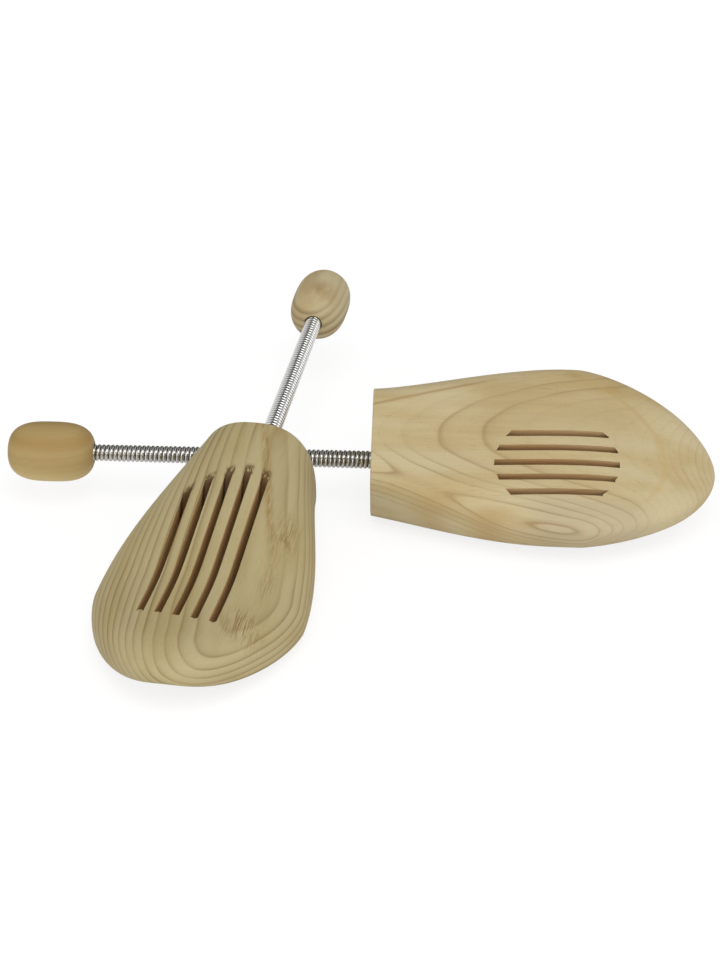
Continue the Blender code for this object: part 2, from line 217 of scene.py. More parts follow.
def skin(name, rings, start_pole=None, end_pole=None):
    """A closed skin over rings of equal count; an end with a pole closes in a fan, one without in a flat face."""
    count = len(rings[0])
    verts = [point for ring in rings for point in ring]
    faces = []
    for k in range(len(rings) - 1):
        for i in range(count):
            j = (i + 1) % count
            faces.append((k * count + i, k * count + j, (k + 1) * count + j, (k + 1) * count + i))
    last = (len(rings) - 1) * count
    for base, pole in ((0, start_pole), (last, end_pole)):
        if pole is None:
            faces.append(tuple(range(base, base + count)))
            continue
        verts.append(pole)
        tip = len(verts) - 1
        faces += [(base + i, base + (i + 1) % count, tip) for i in range(count)]
    return mesh_from(name, verts, faces)


def add_object(name, mesh):
    """Puts a mesh into the scene as an object."""
    item = bpy.data.objects.new(name, mesh)
    bpy.context.scene.collection.objects.link(item)
    return item


def slot_profile(across):
    """Side view of a slot at a share across the pattern, from -1 at its outer side to 1 at its inner side."""
    short = SLOT_SOLE_SHORTENING * across**2
    sole_start, sole_end = SLOT_SOLE[0] + short, SLOT_SOLE[1] - short
    top_start = SLOT_TOP[0] + SLOT_TOP_SKEWS[0] * across + SLOT_TOP_SHORTENING * across**2
    top_end = SLOT_TOP[1] + SLOT_TOP_SKEWS[1] * across
    start_slope = (sole_start - top_start) / REAR_HEIGHT
    end_slope = (top_end - sole_end) / BALL_HEIGHT
    above = REAR_HEIGHT + CUT_OVERRUN
    return [
        (sole_start + start_slope * CUT_OVERRUN, -CUT_OVERRUN - AXIS_HEIGHT),
        (sole_end - end_slope * CUT_OVERRUN, -CUT_OVERRUN - AXIS_HEIGHT),
        (sole_end + end_slope * above, above - AXIS_HEIGHT),
        (sole_start - start_slope * above, above - AXIS_HEIGHT),
    ]


def slot_cutter(side_name):
    """The five slots of a block, as upright slabs that shorten from the instep to the sole."""
    outermost = (SLOT_COUNT - 1) / 2 * SLOT_PITCH
    verts, faces = [], []
    for i in range(SLOT_COUNT):
        from_middle = (i - (SLOT_COUNT - 1) / 2) * SLOT_PITCH
        base = len(verts)
        for inward in (from_middle - SLOT_WIDTH / 2, from_middle + SLOT_WIDTH / 2):
            y = SIDES[side_name] * (SLOT_SHIFT[side_name] + inward)
            verts += [(x, y + SLOT_TURN * (x - SLOT_MIDDLE), z) for x, z in slot_profile(inward / outermost)]
        faces.append(tuple(base + k for k in range(4)))
        faces.append(tuple(base + 7 - k for k in range(4)))
        for k in range(4):
            n = (k + 1) % 4
            faces.append((base + n, base + k, base + 4 + k, base + 4 + n))
    name = side_name + "_slot_cutter"
    return add_object(name, mesh_from(name, verts, faces))


def circle(x, radius, sides):
    """Points of a circle round the tree's axis at a station."""
    turns = [2 * math.pi * i / sides for i in range(sides)]
    return [(x, radius * math.cos(t), radius * math.sin(t)) for t in turns]


def round_bar(name, radius, start, end):
    """A bar on the tree's axis that cuts a bore."""
    return add_object(name, skin(name, [circle(x, radius, BORE_SIDES) for x in (start, end)]))


def cut_by(item, cutters, wall_material):
    """Cuts the cutters out of the item and gives the cut walls their own material."""
    for cutter in cutters:
        cutter.data.materials.clear()
        cutter.data.materials.append(wall_material)
        boolean = item.modifiers.new("cut", "BOOLEAN")
        boolean.operation, boolean.solver, boolean.object = "DIFFERENCE", "EXACT", cutter
        boolean.material_mode = "TRANSFER"
    bpy.context.view_layer.update()
    evaluated = item.evaluated_get(bpy.context.evaluated_depsgraph_get())
    mesh = bpy.data.meshes.new_from_object(evaluated)
    item.modifiers.clear()
    old, item.data = item.data, mesh
    bpy.data.meshes.remove(old)
    for cutter in cutters:
        data = cutter.data
        bpy.data.objects.remove(cutter)
        bpy.data.meshes.remove(data)
    mesh.shade_smooth()
    mesh.set_sharp_from_angle(angle=math.radians(SMOOTH_DEG))


def spring_radius(x):
    """Outer radius of the spring, which narrows from the block to the knob."""
    share = -x / SPRING_LENGTH
    return (SPRING_DIAMETERS[0] + (SPRING_DIAMETERS[1] - SPRING_DIAMETERS[0]) * share) / 2


def lay(item, side_name, part):
    """Moves a piece from its tree's frame to where the tree lies; its wood keeps the tree's own coordinates."""
    points = np.zeros(len(item.data.vertices) * 3, np.float32)
    item.data.vertices.foreach_get("co", points)
    item.data.attributes.new("tree", "FLOAT_VECTOR", "POINT").data.foreach_set("vector", points)
    item.data.transform(place_of(side_name))
    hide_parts(f"{side_name}_{part}")
    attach(item, f"{side_name}_{part}")


def block(side_name, wood, wall):
    """The forefoot block with its slots and its bore."""
    side = SIDES[side_name]
    tip = (BLOCK_LENGTH, side * middle_shift(BLOCK_LENGTH), widest_level(BLOCK_LENGTH) - AXIS_HEIGHT)
    name = side_name + "_block"
    item = add_object(name, skin(name, block_rings(side), end_pole=tip))
    item.data.materials.append(wood)
    bore = round_bar(name + "_bore", spring_radius(0) + SEAT_GAP, -CUT_OVERRUN, BLOCK_SEAT)
    cut_by(item, (slot_cutter(side_name), bore), wall)
    lay(item, side_name, "forefoot")


def knob_radius(share):
    """Radius of the knob at a share of its length."""
    bulge = 1 - abs(2 * share - 1) ** KNOB_END_POWER
    return KNOB_DIAMETER / 2 * max(bulge, 0) ** KNOB_CORNER_POWER


def heel_knob(side_name, wood):
    """The turned knob: floor and wall of its bore, the bore's rim, the barrel and its far end."""
    near = -SPRING_LENGTH
    bore = spring_radius(near) + SEAT_GAP
    share = 0.0
    while knob_radius(share) < bore + KNOB_RIM:
        share += KNOB_SEARCH_STEP
    lip = near - share * KNOB_LENGTH
    outline = [(near - KNOB_SEAT, bore), (lip - 2 * KNOB_RIM, bore)]
    for i in range(ROUNDING_STEPS + 1):
        turn = math.pi / 2 * i / ROUNDING_STEPS
        outline.append((lip - KNOB_RIM * math.cos(turn) * KNOB_RIM_SHARE, bore + KNOB_RIM * math.sin(turn)))
    first = math.acos(1 - 2 * share)
    for i in range(1, KNOB_STEPS):
        turn = first + (math.pi - first) * i / KNOB_STEPS
        at = (1 - math.cos(turn)) / 2
        outline.append((near - at * KNOB_LENGTH, knob_radius(at)))
    rings = [circle(x, radius, KNOB_SIDES) for x, radius in outline]
    name = side_name + "_heel_knob"
    item = add_object(name, skin(name, rings, (near - KNOB_SEAT, 0, 0), (near - KNOB_LENGTH, 0, 0)))
    item.data.materials.append(wood)
    lay(item, side_name, "knob")


def spring_half(name, first, last, start_turn, steel):
    """A stretch of the close-wound wire, with where each point lies on the wire kept as an attribute."""
    turns = (first - last) / CLOSE_PITCH
    count = int(round(turns * COIL_STEPS)) + 1
    t = np.linspace(0, turns, count)
    x = first - t * CLOSE_PITCH
    angle = start_turn + 2 * math.pi * t
    mean = spring_radius(x) - WIRE_DIAMETER / 2
    zero = np.zeros(count)
    middle = np.stack([x, mean * np.cos(angle), mean * np.sin(angle)], axis=1)
    out = np.stack([zero, np.cos(angle), np.sin(angle)], axis=1)
    along = np.stack([-CLOSE_PITCH / (2 * math.pi * mean), -np.sin(angle), np.cos(angle)], axis=1)
    along /= np.linalg.norm(along, axis=1)[:, None]
    aside = np.cross(along, out)
    phi = 2 * math.pi * np.arange(WIRE_SIDES) / WIRE_SIDES
    off = np.cos(phi)[None, :, None] * out[:, None, :] + np.sin(phi)[None, :, None] * aside[:, None, :]
    verts = (middle[:, None, :] + CLOSE_WIRE / 2 * off).reshape(-1, 3)
    k, i = np.meshgrid(np.arange(count - 1), np.arange(WIRE_SIDES), indexing="ij")
    j = (i + 1) % WIRE_SIDES
    here, ahead = k * WIRE_SIDES, (k + 1) * WIRE_SIDES
    quads = np.stack([here + i, here + j, ahead + j, ahead + i], axis=-1).reshape(-1, 4)
    last_ring = (count - 1) * WIRE_SIDES
    faces = [tuple(quad) for quad in quads.tolist()]
    faces += [tuple(range(WIRE_SIDES)), tuple(range(last_ring, last_ring + WIRE_SIDES))]
    mesh = mesh_from(name, verts, faces, WIRE_SMOOTH_DEG)
    length = np.concatenate([[0], np.cumsum(np.linalg.norm(np.diff(middle, axis=0), axis=1))])
    data = np.stack([np.tile(np.cos(phi), count), np.tile(np.sin(phi), count), np.repeat(length, WIRE_SIDES)], axis=1)
    wire = mesh.attributes.new("wire", "FLOAT_VECTOR", "POINT")
    wire.data.foreach_set("vector", data.astype(np.float32).ravel())
    mesh.materials.append(steel)
    return add_object(name, mesh)


def spring(side_name, steel):
    """The spring in two halves, split at its middle and laid where its tree lies."""
    place = place_of(side_name)
    start, end = BLOCK_SEAT - SEAT_GAP, -SPRING_LENGTH - KNOB_SEAT + SEAT_GAP
    middle = -SPRING_LENGTH / 2
    turn_at_middle = 2 * math.pi * (start - middle) / CLOSE_PITCH
    front = spring_half(side_name + "_spring_front", start, middle, 0.0, steel)
    rear = spring_half(side_name + "_spring_rear", middle, end, turn_at_middle, steel)
    for item, pair, stretch in (
        (front, ("forefoot", "spring"), FRONT_BEND[side_name]),
        (rear, ("spring", "knob"), REAR_BEND),
    ):
        item.matrix_world = place
        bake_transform(item)
        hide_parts(side_name + "_spring")


# ---------------------------------------------------------------- materials


class Shader:
    """A material's nodes, with short ways to add and join them."""

    def __init__(self, name):
        self.material = bpy.data.materials.new(name)
        self.material.use_nodes = True
        self.tree = self.material.node_tree
        self.surface = self.tree.nodes["Principled BSDF"]

    def add(self, kind, values=(), **settings):
        """A new node with its settings and with its inputs set or joined."""
        node = self.tree.nodes.new(kind)
        for key, value in settings.items():
            setattr(node, key, value)
        for key, value in dict(values).items():
            self.join(value, node.inputs[key])
        return node

    def join(self, value, socket):
        """Links a socket or a node's first output to a socket, or sets a plain value on it."""
        if isinstance(value, bpy.types.NodeSocket):
            self.tree.links.new(value, socket)
        elif isinstance(value, bpy.types.Node):
            self.tree.links.new(value.outputs[0], socket)
        else:
            socket.default_value = value

    def math(self, operation, a, b=0.0, c=0.0):
        return self.add("ShaderNodeMath", {0: a, 1: b, 2: c}, operation=operation).outputs[0]

    def vector(self, operation, a, b=(0, 0, 0), scale=None):
        node = self.add("ShaderNodeVectorMath", {0: a, 1: b}, operation=operation)
        if scale is not None:
            self.join(scale, node.inputs["Scale"])
        return node.outputs["Value" if operation == "LENGTH" else "Vector"]

    def range(self, value, low, high, to_low=0.0, to_high=1.0, smooth=True):
        """The value moved from one range to another, and held at the ends; low may lie above high."""
        node = self.add("ShaderNodeMapRange", {0: value, 1: low, 2: high, 3: to_low, 4: to_high})
        node.interpolation_type = "SMOOTHSTEP" if smooth else "LINEAR"
        return node.outputs[0]

    def noise(self, vector, detail=2.0, roughness=0.5, colour=False):
        values = {"Vector": vector, "Scale": 1.0, "Detail": detail, "Roughness": roughness}
        return self.add("ShaderNodeTexNoise", values).outputs["Color" if colour else 0]

    def mix(self, share, a, b, blend="MIX"):
        """Colour a with a share of colour b."""
        node = self.add("ShaderNodeMix", data_type="RGBA", blend_type=blend)
        self.join(share, node.inputs["Factor"])
        for value, socket in ((a, node.inputs[6]), (b, node.inputs[7])):
            self.join(value if isinstance(value, bpy.types.NodeSocket) else (*value, 1), socket)
        return node.outputs[2]

    def ramp(self, value, stops):
        """The grey that the stops give for a value from 0 to 1."""
        node = self.add("ShaderNodeValToRGB", {0: value})
        points = node.color_ramp.elements
        while len(points) < len(stops):
            points.new(0.5)
        for point, (at, grey) in zip(points, stops):
            point.position, point.color = at, (grey, grey, grey, 1)
        return node.outputs[0]

    def near(self, value, centre, width):
        """1 where the value is at the centre, falling to 0 at the width from it."""
        return self.range(self.math("ABSOLUTE", self.math("SUBTRACT", value, centre)), width, 0.0)

    def stretched(self, vector, scales, offset=(0, 0, 0)):
        """Coordinates for a noise: cycles per metre along each axis, and an offset."""
        return self.vector("ADD", self.vector("MULTIPLY", vector, scales), offset)

    def product(self, *factors):
        out = factors[0]
        for factor in factors[1:]:
            out = self.math("MULTIPLY", out, factor)
        return out

    def point(self, x, y, z):
        """One vector from three values."""
        return self.add("ShaderNodeCombineXYZ", {0: x, 1: y, 2: z}).outputs[0]


def srgb(red, green, blue):
    """The linear colour of an 8-bit one."""
    out = []
    for value in (red, green, blue):
        c = value / 255
        out.append(c / 12.92 if c <= 0.04045 else ((c + 0.055) / 1.055) ** 2.4)
    return tuple(out)


# Strength of a latewood line over one ring, from its start to its end
SHARP_LINE = ((0.0, 0.10), (0.08, 0.0), (0.50, 0.10), (0.76, 0.40), (0.90, 1.0), (0.955, 0.60), (1.0, 0.10))
FINE_LINE = ((0.0, 0.10), (0.10, 0.0), (0.60, 0.06), (0.82, 0.30), (0.93, 1.0), (0.97, 0.50), (1.0, 0.10))
SOFT_LINE = ((0.0, 0.25), (0.12, 0.0), (0.35, 0.10), (0.62, 0.60), (0.82, 1.0), (0.92, 0.80), (1.0, 0.25))

# Strength of the lines by the distance from the pith, as a share of the reach
STOPS_REACH = 0.1
LEFT_STOPS = ((0.0, 1.0), (1.0, 1.0))
RIGHT_STOPS = (
    (0.0, 0.45), (0.27, 0.45), (0.34, 0.14), (0.44, 0.14), (0.452, 0.80), (0.495, 0.85), (0.515, 0.95), (1.0, 0.95),
)
LEFT_KNOB_STOPS = ((0.0, 0.0), (0.185, 0.0), (0.20, 1.0), (1.0, 1.0))
RIGHT_KNOB_STOPS = ((0.0, 0.25), (1.0, 0.25))

# How fine each noise of the wood is, in cycles per metre along the tree, across it and up
WAVE_SCALES, ALONG_SCALES, PATCH_SCALES = (9, 30, 30), (16, 40, 40), (13, 70, 70)
FIBRE_SCALES, DASH_SCALES = (45, 1300, 1300), (230, 2400, 2400)
STROKE_SCALES, TORN_SCALES, SPOT_SCALES = (110, 1900, 900), (330, 1500, 1500), (160, 260, 260)

RING_SPACING, RING_WAVE, CROWDED_FROM = 0.0029, 0.0034, 0.0510
# A ring's own strength lies between the least and the least plus the spread
RING_LEAST, RING_SPREAD = 0.62, 0.45
CREASE_START, CREASE_POWER = 0.105, 1.5
TOOL_MARK_PITCH, TOOL_MARK_WAVE, TOOL_MARK_LEVELS = 0.00105, 0.001, (0.0060, 0.0015)
DASH_COLOUR, DASH_SHARE = srgb(138, 104, 60), 0.40
FIBRE_TONES, WOOD_ROUGHNESS, WOOD_SPECULAR = (0.93, 1.06), (0.52, 0.68), 0.3
FIBRE_HEIGHT, RING_HEIGHT, WOOD_BUMP, WOOD_BUMP_DEPTH = 0.6, 0.35, 0.35, 0.0002

# The curved line at the end of the right sole's flat, and the straight one along its outer rear edge
FLAT_LINE_MIDDLE, FLAT_LINE_BOW, FLAT_LINE_AT, FLAT_LINE_WIDTH = 0.010, 22.2, 0.1205, 0.0022
EDGE_LINE_SLOPE, EDGE_LINE_AT, EDGE_LINE_WIDTH = 0.298, -0.0113, 0.0013
# Painted shade on the right sole: on its far part, also turning it yellower, and on the front of its near flank
FAR_SOLE_SHADE, FLANK_SHADE = (0.86, 0.80, 0.69), (0.88, 0.875, 0.91)
# The brown streak on the left instep, and how the rear end of its slots leans
STREAK_SLOPE, STREAK_AT, STREAK_WIDTH = 0.24, 0.0036, 0.0030
SLOT_END_LEAN = 0.45
# The right tree is rolled over: what lies low on the table points this way across it and up in its own frame
RIGHT_DOWN = (0.434, 0.901)

# Soft patches of darker wood: middle (x, y), half length, half width and strength
SOLE_PATCHES = (
    (0.049, 0.041, 0.017, 0.008, 0.60),
    (0.024, 0.0335, 0.018, 0.006, 0.40),
    (0.004, -0.0155, 0.022, 0.0035, 0.45),
    (0.099, -0.0245, 0.006, 0.004, 0.50),
    (0.084, -0.0295, 0.007, 0.003, 0.50),
)
INSTEP_PATCHES = (
    (0.110, 0.017, 0.014, 0.011, 0.85),
    (0.056, 0.0235, 0.018, 0.008, 0.65),
    (0.084, 0.0215, 0.016, 0.005, 0.45),
)


def toe_rise(s, x, start, power):
    """A rise from its start to the toe, from 0 to 1."""
    share = s.math("DIVIDE", s.math("SUBTRACT", x, start), BLOCK_LENGTH - start)
    return s.math("POWER", s.math("MAXIMUM", share, 0), power)


def steeper_toe(s, x):
    """How far the sole's rise lies above one that starts at the crease, so the rings show as on a flatter sole."""
    whole, late = toe_rise(s, x, TOE_SPRING_START, TOE_SPRING_POWER), toe_rise(s, x, CREASE_START, CREASE_POWER)
    return s.math("MULTIPLY", s.math("SUBTRACT", whole, late), TOE_SPRING)


def straighter_instep(s, x):
    """How far the instep lies above an even slope, so the rings run on straight past the ball."""
    sag = s.range(x, 0.030, BALL_STATION, 0.0, -0.0035)
    return s.math("ADD", sag, s.range(x, BALL_STATION, BLOCK_LENGTH, 0.0, 0.0107))


def near_side_only(s, y, radius):
    """Weakens the outer rings away from the right sole's inner side, where they hardly show."""
    return s.math("MAXIMUM", s.range(y, 0.007, 0.017, 0.13, 1.0), s.range(radius, 0.0518, 0.0508))


def patched(s, x, y, colour, patches, tint, *factors):
    """Tints the patches of a table, where the factors let them show."""
    for at_x, at_y, long, wide, share in patches:
        patch = s.product(s.near(x, at_x, long), s.near(y, at_y, wide), *factors, share)
        colour = s.mix(patch, colour, tint)
    return colour


def sole_details(s, x, y, z, colour):
    """Two lines on the right sole, at the end of its flat and along its outer rear edge; painted shade on its far
    part, also turning it yellower, and on its near flank's front; and its patches of darker wood.
    """
    from_middle = s.math("ABSOLUTE", s.math("SUBTRACT", y, FLAT_LINE_MIDDLE))
    bow = s.math("MULTIPLY", s.math("POWER", from_middle, 2), FLAT_LINE_BOW)
    line = s.near(s.math("ADD", x, bow), FLAT_LINE_AT, FLAT_LINE_WIDTH)
    line = s.product(line, s.range(z, -0.004, -0.009), s.range(y, 0.034, 0.026), 0.42)
    colour = s.mix(line, colour, srgb(180, 154, 96))
    # Painted shade on the far part of the sole, which also turns it yellower
    outer = s.product(s.near(y, -0.012, 0.024), s.range(x, 0.028, 0.055), s.range(x, 0.125, 0.100))
    colour = s.mix(outer, colour, FAR_SOLE_SHADE, "MULTIPLY")
    # Painted shade on the front of the near flank
    flank = s.product(s.range(y, 0.027, 0.038), s.range(x, 0.055, 0.075), s.range(x, 0.122, 0.104))
    colour = s.mix(flank, colour, FLANK_SHADE, "MULTIPLY")
    edge = s.near(s.math("ADD", y, s.math("MULTIPLY", x, EDGE_LINE_SLOPE)), EDGE_LINE_AT, EDGE_LINE_WIDTH)
    colour = s.mix(s.product(edge, s.range(x, 0.056, 0.036), 0.6), colour, srgb(146, 114, 62))
    return patched(s, x, y, colour, SOLE_PATCHES, srgb(164, 134, 82))


def slot_end(s, x, y, z):
    """How far a point lies behind the left slots' rear end, beside the nearest slot's middle and across them all."""
    turned = s.math("MULTIPLY", s.math("SUBTRACT", x, SLOT_MIDDLE), SLOT_TURN)
    inward = s.math("MULTIPLY", s.math("SUBTRACT", y, turned), SIDES["left"])
    lane = s.math("DIVIDE", s.math("SUBTRACT", inward, SLOT_SHIFT["left"]), SLOT_PITCH)
    # Half a lane on, and ten more so that it stays positive
    in_lane = s.math("FRACT", s.math("ADD", lane, 10.5))
    beside = s.math("MULTIPLY", s.math("ABSOLUTE", s.math("SUBTRACT", in_lane, 0.5)), SLOT_PITCH)
    across = s.math("DIVIDE", lane, (SLOT_COUNT - 1) / 2)
    skew = s.math("MULTIPLY", across, SLOT_TOP_SKEWS[0])
    end = s.math("ADD", skew, s.product(across, across, SLOT_TOP_SHORTENING))
    climb = s.math("MULTIPLY", s.math("SUBTRACT", REAR_HEIGHT - AXIS_HEIGHT, z), SLOT_END_LEAN)
    behind = s.math("SUBTRACT", s.math("SUBTRACT", x, climb), s.math("ADD", end, SLOT_TOP[0]))
    return behind, beside, across


def instep_details(s, x, y, z, colour):
    """The brown streak beside the left slots, the flecked patches, and the slots' torn rear ends: ragged from
    tear-out, and dark with painted shade.
    """
    at = s.point(x, y, z)
    upper = s.range(z, -0.010, -0.004)
    fine = s.noise(s.stretched(at, TORN_SCALES), detail=1.0)
    strokes = s.noise(s.stretched(at, STROKE_SCALES))
    streak = s.near(s.math("SUBTRACT", y, s.math("MULTIPLY", x, STREAK_SLOPE)), STREAK_AT, STREAK_WIDTH)
    streak = s.product(streak, s.range(x, 0.090, 0.040), upper, s.range(strokes, 0.32, 0.62, 0.10, 0.85))
    colour = s.mix(streak, colour, srgb(140, 110, 58))
    flecks = s.range(strokes, 0.46, 0.58)
    colour = patched(s, x, y, colour, INSTEP_PATCHES, srgb(124, 96, 50), flecks, upper)
    behind, beside, across = slot_end(s, x, y, z)
    at_end = s.product(s.range(behind, -0.0040, -0.0010), s.range(behind, 0.0030, 0.0010))
    in_pattern = s.range(s.math("ABSOLUTE", across), 1.3, 1.15)
    # The torn rear ends: the ragged edge is tear-out, the dark colour painted shade
    torn = s.product(s.range(beside, 0.0024, 0.0012), at_end, in_pattern, upper, 0.9)
    torn = s.product(torn, s.range(fine, 0.38, 0.52, 0.25, 1.0))
    return s.mix(torn, colour, srgb(84, 56, 26))


def shaded_slot_ends(s, x, y, z, colour):
    """Painted shade on the left slots' rear end walls."""
    behind = slot_end(s, x, y, z)[0]
    # Painted shade, darkest at the slots' rear end walls
    return s.mix(s.range(behind, 0.0060, 0.0020, 0.0, 0.9), colour, srgb(84, 58, 32))


def spotted_knob(s, x, y, z, colour):
    """The soft brown spot on the upper side of the left knob."""
    uneven = s.range(s.noise(s.stretched(s.point(x, y, z), SPOT_SCALES)), 0.30, 0.62, 0.25, 0.80)
    spot = s.product(s.near(x, -0.1265, 0.0115), s.near(y, 0.0014, 0.0095), s.range(z, 0.002, 0.008), uneven)
    return s.mix(spot, colour, srgb(152, 122, 78))


def lit_knob(s, x, y, z, colour):
    """Painted light and shade on the right knob: painted shade in a darker band high on it and painted bounce light
    from the floor low on it.
    """
    low = s.math("ADD", s.math("MULTIPLY", y, RIGHT_DOWN[0]), s.math("MULTIPLY", z, RIGHT_DOWN[1]))
    # Painted light: the floor's bounce, lighter low on the knob
    colour = s.mix(s.range(low, -0.001, 0.010, 0.0, 0.85), colour, srgb(204, 182, 128))
    # Painted shade: a darker band high on the knob
    return s.mix(s.product(s.near(low, -0.0082, 0.0034), 0.65), colour, srgb(148, 118, 62))


def year_rings(s, at, pith, grain, seed, stops, spacing, closer, profile):
    """Strength of the latewood lines at a point, and its distance from the pith line."""
    slow = s.noise(s.stretched(at, WAVE_SCALES, (seed, 2 * seed, 0)), colour=True)
    wave = s.vector("SCALE", s.vector("SUBTRACT", slow, (0.5, 0.5, 0.5)), scale=RING_WAVE)
    off = s.vector("SUBTRACT", s.vector("ADD", at, wave), pith)
    radius = s.vector("LENGTH", s.vector("CROSS_PRODUCT", off, tuple(Vector(grain).normalized())))
    crowding = s.math("MULTIPLY", s.math("MAXIMUM", s.math("SUBTRACT", radius, CROWDED_FROM), 0), closer)
    rings = s.math("ADD", s.math("DIVIDE", radius, spacing), crowding)
    number = s.math("ADD", s.math("FLOOR", rings), seed)
    each = s.add("ShaderNodeTexWhiteNoise", {"W": number}, noise_dimensions="1D").outputs[0]
    strength = s.ramp(s.math("DIVIDE", radius, STOPS_REACH), stops)
    along = s.range(s.noise(s.stretched(at, ALONG_SCALES, (seed, 3, 9)), detail=1.0), 0.32, 0.60, 0.35, 1.0)
    strength = s.product(strength, along, s.math("MULTIPLY_ADD", each, RING_SPREAD, RING_LEAST))
    return s.math("MULTIPLY", s.ramp(s.math("FRACT", rings), profile), strength), radius


def pine(
    name, pith, grain, seed, pale, late, warm, stops, spacing=RING_SPACING, closer=0.0,
    bend=None, fade=None, details=None, marks=0.0, blotch=1.0, profile=SHARP_LINE,
):
    """Solid pine: rings round a pith line, latewood lines of uneven strength, fibres, dashes and tool marks.

    The colours are those of the early wood, the latewood lines and the warmer blotches. The stops give the lines'
    strength by their distance from the pith, and closer crowds the outer rings. Bend and fade take the level that the
    rings follow and where they show, and details adds what one face alone has.
    """
    s = Shader(name)
    tree = s.add("ShaderNodeAttribute", attribute_name="tree").outputs["Vector"]
    x, y, z = s.add("ShaderNodeSeparateXYZ", {0: tree}).outputs
    at = s.point(x, y, z if bend is None else s.math("SUBTRACT", z, bend(s, x)))
    ring, radius = year_rings(s, at, pith, grain, seed, stops, spacing, closer, profile)
    if fade is not None:
        ring = s.math("MULTIPLY", ring, fade(s, y, radius))
    fibre = s.noise(s.stretched(tree, FIBRE_SCALES, (0, seed, seed)), detail=3.0, roughness=0.6)
    patch = s.noise(s.stretched(at, PATCH_SCALES, (seed + 7, 0, 3)))
    dash_cells = s.noise(s.stretched(tree, DASH_SCALES, (seed, 5, 1)), detail=1.0)
    dashes = s.product(s.range(dash_cells, 0.66, 0.76), s.range(patch, 0.40, 0.62), DASH_SHARE)

    colour = s.mix(s.range(patch, 0.40, 0.72, 0.0, blotch), pale, warm)
    colour = s.mix(ring, colour, late)
    tone = s.range(fibre, 0.2, 0.8, *FIBRE_TONES, smooth=False)
    grey = s.add("ShaderNodeCombineColor", {0: tone, 1: tone, 2: tone}).outputs[0]
    colour = s.mix(dashes, s.mix(1.0, colour, grey, "MULTIPLY"), DASH_COLOUR)
    if details is not None:
        colour = details(s, x, y, z, colour)
    s.join(colour, s.surface.inputs["Base Color"])
    s.join(s.range(fibre, 0.3, 0.7, *WOOD_ROUGHNESS, smooth=False), s.surface.inputs["Roughness"])
    s.surface.inputs["Specular IOR Level"].default_value = WOOD_SPECULAR

    height = s.math("ADD", s.math("MULTIPLY", fibre, FIBRE_HEIGHT), s.math("MULTIPLY", ring, RING_HEIGHT))
    if marks:
        on_sole = s.range(z, *(level - AXIS_HEIGHT for level in TOOL_MARK_LEVELS))
        uneven = s.math("ADD", x, s.math("MULTIPLY", patch, TOOL_MARK_WAVE))
        wave = s.math("SINE", s.math("MULTIPLY", uneven, 2 * math.pi / TOOL_MARK_PITCH))
        height = s.math("ADD", height, s.product(wave, marks, on_sole))
    bump = s.add("ShaderNodeBump", {"Height": height, "Strength": WOOD_BUMP, "Distance": WOOD_BUMP_DEPTH})
    s.join(bump, s.surface.inputs["Normal"])
    return s.material


# The first colour is the painted shade between the coils
COIL_GAP_SHADE, DRAWN_SCALES, STEEL_ROUGHNESS = (0.10, 0.10, 0.095), (9, 9, 60), (0.14, 0.26)


def steel_material(name, bright, lit):
    """Nickel-plated wire with painted shade where the coils meet; lit gives how far out the wire turns bright and
    dark.
    """
    s = Shader(name)
    wire = s.add("ShaderNodeAttribute", attribute_name="wire").outputs["Vector"]
    outward = s.add("ShaderNodeSeparateXYZ", {0: wire}).outputs[0]
    drawn = s.noise(s.stretched(wire, DRAWN_SCALES))
    # Painted shade: the wire turns dark where it faces in towards the next coil
    s.join(s.mix(s.range(outward, *lit), bright, COIL_GAP_SHADE), s.surface.inputs["Base Color"])
    s.surface.inputs["Metallic"].default_value = 1.0
    s.join(s.range(drawn, 0.3, 0.7, *STEEL_ROUGHNESS, smooth=False), s.surface.inputs["Roughness"])
    return s.material


# ---------------------------------------------------------------- stage

FLOOR_RADIUS, FLOOR_DROP, FLOOR_SIDES, FLOOR_GREY, FLOOR_ROUGHNESS = 4, 0.00005, 96, 0.93, 0.9
# Share of the floor that the camera sees as plain glow, from the near floor to the far
GLOW, GLOW_DISTANCES, GLOW_SHARES = 1.06, (0.20, 0.60), (0.76, 1.0)
WORLD_LIGHT, WORLD_EXTRA_TO_CAMERA = 0.55, 0.45
MIRRORED_WALLS, MIRRORED_DARK = 1.1, -0.45
LAMPS = (
    ("key", (0.1, -0.75, 1.3), 1.0, 8.5),
    ("front_fill", (0.3, -1.6, 0.35), 0.9, 5),
    ("left_fill", (-1.2, -0.8, 0.7), 0.9, 4),
    ("right_fill", (1.2, -0.8, 0.7), 0.9, 3.5),
)
SENSOR, FOCAL_PIXELS, PHOTO_HEIGHT = 36.0, 2551.97, 960
CAMERA_AT, CAMERA_DOWN_DEG = (0.00018, -0.9175, 0.5454), 29.84


def floor_material():
    """Pale floor that shows white to the camera and still keeps the object's soft shadow."""
    s = Shader("floor")
    s.surface.inputs["Base Color"].default_value = (FLOOR_GREY, FLOOR_GREY, FLOOR_GREY, 1)
    s.surface.inputs["Roughness"].default_value = FLOOR_ROUGHNESS
    s.surface.inputs["Specular IOR Level"].default_value = 0.0
    path = s.add("ShaderNodeLightPath")
    glow = s.add("ShaderNodeEmission", {"Color": (1, 1, 1, 1), "Strength": GLOW})
    distance = s.vector("LENGTH", s.add("ShaderNodeNewGeometry").outputs["Position"])
    share = s.math("MULTIPLY", path.outputs["Is Camera Ray"], s.range(distance, *GLOW_DISTANCES, *GLOW_SHARES))
    mixed = s.add("ShaderNodeMixShader", {0: share, 1: s.surface.outputs[0], 2: glow.outputs[0]})
    s.join(mixed, s.tree.nodes["Material Output"].inputs["Surface"])
    return s.material


